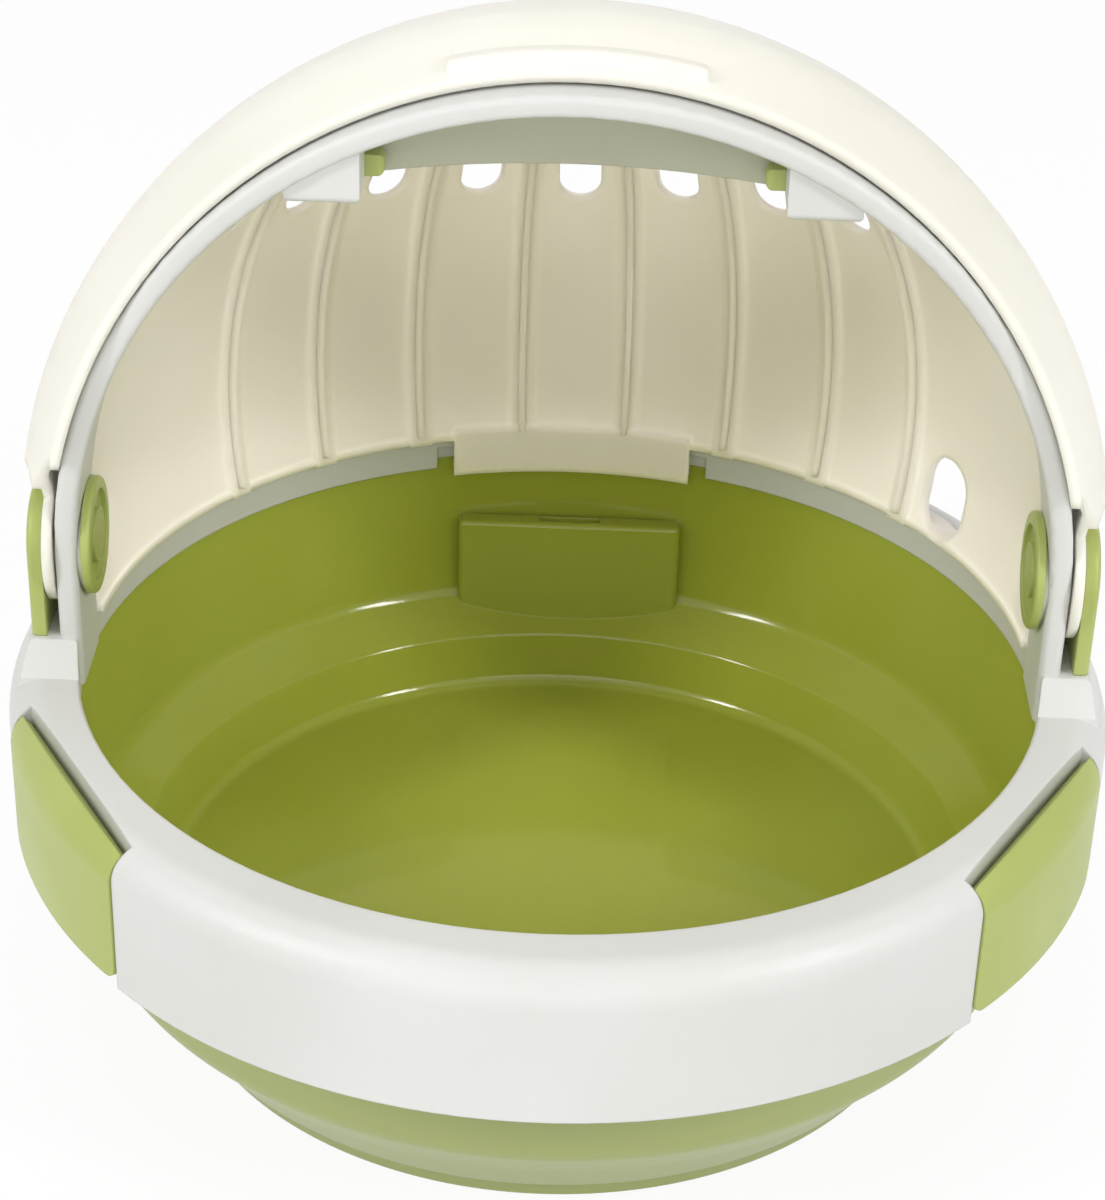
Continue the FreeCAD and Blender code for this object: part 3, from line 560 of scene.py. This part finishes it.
def grown(holder, tree, values):
    """Runs a geometry node tree on an object and returns its result as a plain mesh."""
    modifier = holder.modifiers.new("Shape", "NODES")
    modifier.node_group = tree
    for item in tree.interface.items_tree:
        if item.in_out == "INPUT" and item.name in values:
            modifier[item.identifier] = values[item.name]
    graph = bpy.context.evaluated_depsgraph_get()
    mesh = bpy.data.meshes.new_from_object(holder.evaluated_get(graph), depsgraph=graph)
    data = holder.data
    bpy.data.objects.remove(holder)
    if isinstance(data, bpy.types.Curve):
        bpy.data.curves.remove(data)
    else:
        bpy.data.meshes.remove(data)
    return mesh


def profile_curve(name, points):
    """Open profile in the XZ plane; each point is radius, height and corner radius."""
    curve = bpy.data.curves.new(name, "CURVE")
    curve.dimensions = "3D"
    spline = curve.splines.new("POLY")
    spline.points.add(len(points) - 1)
    for point, (radius, height, corner) in zip(spline.points, points):
        point.co = (radius, 0.0, height, 1.0)
        point.radius = corner
    holder = bpy.data.objects.new(name, curve)
    bpy.context.scene.collection.objects.link(holder)
    return holder


def rounded_prism(name, outline, front, back):
    """Solid from an XZ outline; front and back give Y for a point of the outline."""
    bm = bmesh.new()
    near = [bm.verts.new((x, front(x, z), z)) for x, z in outline]
    far = [bm.verts.new((x, back(x, z), z)) for x, z in outline]
    bm.faces.new(near)
    bm.faces.new(list(reversed(far)))
    count = len(outline)
    for i in range(count):
        after = (i + 1) % count
        bm.faces.new((near[after], near[i], far[i], far[after]))
    bmesh.ops.recalc_face_normals(bm, faces=bm.faces)
    mesh = bpy.data.meshes.new(name)
    bm.to_mesh(mesh)
    bm.free()
    piece = bpy.data.objects.new(name, mesh)
    bpy.context.scene.collection.objects.link(piece)
    return piece


def combine(piece, tool, operation):
    """Applies a boolean with a tool, which is then removed."""
    modifier = piece.modifiers.new(operation.title(), "BOOLEAN")
    modifier.operation = operation
    modifier.solver = "EXACT"
    modifier.object = tool
    graph = bpy.context.evaluated_depsgraph_get()
    mesh = bpy.data.meshes.new_from_object(piece.evaluated_get(graph), depsgraph=graph)
    piece.modifiers.remove(modifier)
    old = piece.data
    piece.data = mesh
    mesh.name = piece.name
    bpy.data.meshes.remove(old)
    data = tool.data
    bpy.data.objects.remove(tool)
    bpy.data.meshes.remove(data)


def shade(piece, crease_deg):
    """Outward faces, smooth shading and sharp edges where the surface turns."""
    bm = bmesh.new()
    bm.from_mesh(piece.data)
    bmesh.ops.remove_doubles(bm, verts=bm.verts, dist=SEAM)
    bmesh.ops.recalc_face_normals(bm, faces=bm.faces)
    smoothed(bm, math.radians(crease_deg))
    bm.to_mesh(piece.data)
    bm.free()
    weigh = piece.modifiers.new("Even shading", "WEIGHTED_NORMAL")
    weigh.keep_sharp = True


def seen_rays(tree):
    """1 for rays that show the stage itself, straight, mirrored or through something."""
    path = put(tree, "ShaderNodeLightPath", {}, {})
    seen = put(tree, "ShaderNodeMath", {"operation": "MAXIMUM"}, {
        0: path.outputs["Is Camera Ray"], 1: path.outputs["Is Glossy Ray"]})
    seen = put(tree, "ShaderNodeMath", {"operation": "MAXIMUM"}, {
        0: seen.outputs[0], 1: path.outputs["Is Transmission Ray"]})
    return seen.outputs[0]


class CARRIER_OT_stage(bpy.types.Operator):
    """Floor, light and camera"""
    bl_idname = "carrier.stage"
    bl_label = "Stage"

    def execute(self, context):
        stage = context.scene.carrier_stage
        context.scene.view_settings.view_transform = "Standard"
        self.floor(stage)
        self.sky(context, stage)
        right = Vector(stage.key_place)
        left = Vector((-right.x, right.y, right.z))
        lamps = (("Lamp left", left, stage.key_size, stage.key),
                 ("Lamp right", right, stage.key_size, stage.key),
                 ("Lamp front", Vector(stage.fill_place), stage.fill_size, stage.fill),
                 ("Lamp over", Vector(stage.top_place), stage.top_size, stage.top))
        for name, place, size, power in lamps:
            self.lamp(context, name, place, size, power)
        self.camera(context, stage)
        return {"FINISHED"}

    def floor(self, stage):
        mesh = bpy.data.meshes.new("floor")
        half = stage.floor_half
        mesh.from_pydata([(-half, -half, 0), (half, -half, 0), (half, half, 0), (-half, half, 0)],
                         [], [(0, 1, 2, 3)])
        material = bpy.data.materials.new("Studio floor")
        material.use_nodes = True
        tree = material.node_tree
        tree.nodes.clear()
        share = put(tree, "ShaderNodeMath", {"operation": "MULTIPLY"}, {
            0: seen_rays(tree), 1: stage.floor_white})
        matt = put(tree, "ShaderNodeBsdfDiffuse", {}, {"Color": stage.floor_tone})
        white = put(tree, "ShaderNodeEmission", {}, {"Strength": 1.0})
        both = put(tree, "ShaderNodeMixShader", {}, {
            0: share.outputs[0], 1: matt.outputs[0], 2: white.outputs[0]})
        put(tree, "ShaderNodeOutputMaterial", {}, {"Surface": both.outputs[0]})
        floor = new_piece("floor", mesh, material)
        floor.location.z = -stage.floor_drop

    def sky(self, context, stage):
        world = bpy.data.worlds.new("Studio")
        world.use_nodes = True
        tree = world.node_tree
        tree.nodes.clear()
        strength = put(tree, "ShaderNodeMapRange", {}, {
            "Value": seen_rays(tree), "To Min": stage.sky, "To Max": 1.0})
        light = put(tree, "ShaderNodeBackground", {}, {
            "Color": (1.0, 1.0, 1.0, 1.0), "Strength": strength.outputs["Result"]})
        put(tree, "ShaderNodeOutputWorld", {}, {"Surface": light.outputs[0]})
        context.scene.world = world

    def lamp(self, context, name, place, size, power):
        data = bpy.data.lights.new(name, "AREA")
        data.shape = "RECTANGLE"
        data.size, data.size_y = size
        data.energy = power
        lamp = bpy.data.objects.new(name, data)
        aim = Vector((0.0, 0.0, context.scene.carrier_stage.aim_height)) - place
        lamp.rotation_mode = "QUATERNION"
        lamp.rotation_quaternion = aim.to_track_quat("-Z", "Y")
        lamp.location = place
        context.scene.collection.objects.link(lamp)

    def camera(self, context, stage):
        data = bpy.data.cameras.new("Camera")
        data.lens = stage.lens
        data.sensor_width = stage.sensor
        data.shift_x, data.shift_y = stage.shift
        aim = Vector((0.0, 0.0, stage.aim_height))
        back = Vector((math.sin(stage.azimuth) * math.cos(stage.elevation),
                       -math.cos(stage.azimuth) * math.cos(stage.elevation),
                       math.sin(stage.elevation)))
        right = Vector((0.0, 0.0, 1.0)).cross(back).normalized()
        up = back.cross(right)
        across = right * math.cos(stage.roll) + up * math.sin(stage.roll)
        above = up * math.cos(stage.roll) - right * math.sin(stage.roll)
        camera = bpy.data.objects.new("Camera", data)
        turn = Matrix((across, above, back)).transposed().to_4x4()
        camera.matrix_world = Matrix.Translation(aim + back * stage.distance) @ turn
        context.scene.collection.objects.link(camera)
        context.scene.camera = camera


class CARRIER_OT_bowl(bpy.types.Operator):
    """Round green tub with its stepped foot, ledge, raised floor and finger pocket"""
    bl_idname = "carrier.bowl"
    bl_label = "Bowl"

    def execute(self, context):
        size = context.scene.carrier_bowl
        tub = self.tub(size, context.scene.carrier_rounds)
        self.pocket(tub, size)
        shade(tub, BOWL_CREASE)
        mount(tub, "carrier", "green_plastic", "bowl")
        return {"FINISHED"}

    def tub(self, size, soft):
        """Turned wall: from the middle of the underside out, up the outside and back in over the top."""
        top, wall, rim, floor = size.top_radius, size.wall, size.top_height, size.floor_height
        under = floor - wall
        step, ledge = floor + size.step_height, floor + size.ledge_height
        tread = size.foot_height + size.foot_step
        points = [
            (0.0, under, 0.0),
            (size.floor_radius, under, soft.under),
            (size.floor_radius + wall, under + size.floor_lift, soft.under),
            (size.step_radius + wall, step - wall, soft.inside),
            (size.ledge_radius - size.web_inset, ledge - size.web_drop, soft.inside),
            (size.shoulder_radius - 2 * wall, size.shoulder_height + size.shoulder_lift, soft.inside),
            (size.base_radius - wall, size.base_height + wall, soft.step),
            (size.floor_radius - wall, tread + wall, soft.inside),
            (size.foot_radius - size.foot_width, 0.0, soft.heel),
            (size.foot_radius, 0.0, soft.toe),
            (size.foot_radius + size.foot_lean, size.foot_height, soft.crook),
            (size.floor_radius, tread, soft.tread),
            (size.base_radius, size.base_height, soft.bend),
            (size.shoulder_radius, size.shoulder_height, soft.bend),
            (top - size.neck_inset, rim - size.catch_root, soft.catch),
            (top + size.catch_reach, rim - size.catch_edge, soft.catch),
            (top + size.catch_reach, rim - size.catch_top, soft.catch),
            (top - size.lip_inset, rim - size.catch_top, soft.catch),
            (top, rim, soft.rim),
            (top - wall, rim, soft.lip),
            (size.ledge_radius, ledge, soft.ledge),
            (size.step_radius, step, soft.step),
            (size.floor_radius, floor, soft.floor),
            (0.0, floor, 0.0),
        ]
        holder = profile_curve("bowl_profile", points)
        mesh = grown(holder, turned_wall_nodes(), {
            "Segments": size.segments, "Corner Steps": size.corner_steps, "Path Radius": 1.0,
            "Material": glossy_green()})
        return new_piece("bowl_tub", mesh, glossy_green())

    def pocket(self, tub, size):
        """Block on the rear wall, hollow from behind, with a slot in its top."""
        half, face, wall = size.pocket_width / 2, size.pocket_face, size.wall
        low, high, corner = size.pocket_low, size.pocket_high, size.pocket_corner
        ledge = size.floor_height + size.ledge_height
        foot = size.ledge_radius + size.pocket_sink
        lean = (size.top_radius - wall - size.ledge_radius) / (size.top_height - ledge)

        def outline(inset, round_by, bottom, top):
            side = half - inset
            points = [(side, top), (-side, top)]
            for centre, start in ((-side + round_by, 2 * QUARTER), (side - round_by, 3 * QUARTER)):
                for step in range(size.pocket_steps + 1):
                    angle = math.radians(start + step * QUARTER / size.pocket_steps)
                    points.append((centre + round_by * math.cos(angle),
                                   bottom + round_by + round_by * math.sin(angle)))
            return points

        def on_wall(x, z):
            radius = foot + (z - ledge) * lean
            return math.sqrt(radius * radius - x * x)

        block = rounded_prism("pocket_block", outline(0.0, corner, low, high),
                              lambda x, z: face, on_wall)
        soft = block.modifiers.new("Soft rim", "BEVEL")
        soft.width, soft.segments, soft.limit_method = size.pocket_soft, 3, "ANGLE"
        soft.angle_limit = math.radians(50.0)
        combine(tub, block, "UNION")
        room = rounded_prism("pocket_room", outline(wall, corner / 2, low + 2 * wall, high - wall),
                             lambda x, z: face + wall, lambda x, z: face + size.pocket_depth)
        combine(tub, room, "DIFFERENCE")
        side, bottom, top = size.slot_width / 2, high - 2 * wall, high + wall
        slot = [(-side, bottom), (side, bottom), (side, top), (-side, top)]
        mouth = rounded_prism("pocket_slot", slot, lambda x, z: face + wall,
                              lambda x, z: face + wall + size.slot_depth)
        combine(tub, mouth, "DIFFERENCE")


class CARRIER_OT_carry_frame(bpy.types.Operator):
    """White ring with the carrying arch, its blocks and the guard behind the grip"""
    bl_idname = "carrier.carry_frame"
    bl_label = "Carrying frame"

    def execute(self, context):
        piece = skin_of("carry_frame", "frame_ring_and_arch", white_plastic())
        mount(piece, "carrier", "white_plastic", "carry_frame")
        guard = skin_of("finger_guard", "grip_guard", guard_painted_shade_plastic())
        mount(guard, "carrier", "ivory_plastic", "finger_guard")
        return {"FINISHED"}


class CARRIER_OT_rear_shell(bpy.types.Operator):
    """Ivory rear half of the dome with its ribs and vents"""
    bl_idname = "carrier.rear_shell"
    bl_label = "Rear shell"

    def execute(self, context):
        piece = skin_of("rear_shell", "rear_dome", ivory_plastic())
        mount(piece, "carrier", "ivory_plastic", "rear_shell")
        size = context.scene.carrier_ribs
        holder = bpy.data.objects.new("rib_seed", bpy.data.meshes.new("rib_seed"))
        context.scene.collection.objects.link(holder)
        low = -math.asin((size.pivot_height - size.foot_height) / size.radius)
        mesh = grown(holder, rib_row_nodes(), {
            "Count": size.count, "Pitch": size.pitch, "Width": size.width, "Height": size.height,
            "Steps": size.steps, "Section Steps": size.section_steps,
            "Radius": size.radius, "Centre Height": size.pivot_height, "Start": low,
            "Sweep": size.top_angle - low, "Material": ivory_plastic()})
        ribs = new_piece("rear_dome_ribs", mesh, ivory_plastic())
        shade(ribs, RIB_CREASE)
        mount(ribs, "carrier", "ivory_plastic")
        return {"FINISHED"}


class CARRIER_OT_visor(bpy.types.Operator):
    """Ivory visor folded back over the rear shell"""
    bl_idname = "carrier.visor"
    bl_label = "Visor"

    def execute(self, context):
        piece = skin_of("visor", "visor_dome", visor_plastic())
        mount(piece, "visor", "ivory_plastic", "visor")
        return {"FINISHED"}


class CARRIER_OT_pivots(bpy.types.Operator):
    """Pivot covers, knobs and pins on both sides"""
    bl_idname = "carrier.pivots"
    bl_label = "Pivots"

    def execute(self, context):
        for side in ("left", "right"):
            for kind in ("pivot_cover", "pivot_knob", "pivot_pin"):
                node = kind + "_" + side
                piece = skin_of(node, node + "_skin", satin_green())
                mount(piece, "carrier", "green_plastic", node)
        return {"FINISHED"}


class CARRIER_OT_buttons(bpy.types.Operator):
    """Latch buttons at the inner ends of the two blocks"""
    bl_idname = "carrier.buttons"
    bl_label = "Latch buttons"

    def execute(self, context):
        for side in ("left", "right"):
            node = "latch_button_" + side
            piece = skin_of(node, node + "_skin", satin_green())
            mount(piece, "button_" + side, "green_plastic", node)
        return {"FINISHED"}


class CARRIER_OT_clips(bpy.types.Operator):
    """Three clips that hold the bowl, with their hinge pins"""
    bl_idname = "carrier.clips"
    bl_label = "Clips"

    def execute(self, context):
        for place in ("front_left", "front_right", "rear"):
            node = "clip_" + place
            piece = skin_of(node, node + "_skin", satin_green())
            mount(piece, node, "green_plastic", node)
            node = "clip_pin_" + place
            piece = skin_of(node, node + "_skin", pin_steel())
            mount(piece, "carrier", "steel", node)
        return {"FINISHED"}


OPERATORS = (CARRIER_OT_stage, CARRIER_OT_bowl, CARRIER_OT_carry_frame, CARRIER_OT_rear_shell,
             CARRIER_OT_visor, CARRIER_OT_pivots, CARRIER_OT_buttons, CARRIER_OT_clips)


class CARRIER_PT_panel(bpy.types.Panel):
    bl_idname = "CARRIER_PT_panel"
    bl_label = "Small animal carrier"
    bl_space_type = "VIEW_3D"
    bl_region_type = "UI"
    bl_category = "Carrier"

    def draw(self, context):
        scene = context.scene
        for name, kind in GROUPS:
            box = self.layout.box()
            for key in kind.__annotations__:
                box.prop(getattr(scene, name), key)
        for operator in OPERATORS:
            self.layout.operator(operator.bl_idname)


GROUPS = (("carrier_bowl", CarrierBowlSizes), ("carrier_rounds", CarrierBowlRounds),
          ("carrier_ribs", CarrierRibSizes), ("carrier_finish", CarrierFinish),
          ("carrier_stage", CarrierStage))


def register():
    for name, group in GROUPS:
        bpy.utils.register_class(group)
        setattr(bpy.types.Scene, name, PointerProperty(type=group))
    for operator in OPERATORS:
        bpy.utils.register_class(operator)
    bpy.utils.register_class(CARRIER_PT_panel)


def unregister():
    bpy.utils.unregister_class(CARRIER_PT_panel)
    for operator in reversed(OPERATORS):
        bpy.utils.unregister_class(operator)
    for name, group in reversed(GROUPS):
        delattr(bpy.types.Scene, name)
        bpy.utils.unregister_class(group)


def main():
    register()
    bpy.ops.carrier.stage()
    bpy.ops.carrier.bowl()
    bpy.ops.carrier.carry_frame()
    bpy.ops.carrier.rear_shell()
    bpy.ops.carrier.visor()
    bpy.ops.carrier.pivots()
    bpy.ops.carrier.buttons()
    bpy.ops.carrier.clips()
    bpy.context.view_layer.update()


if __name__ == "__main__":
    main()
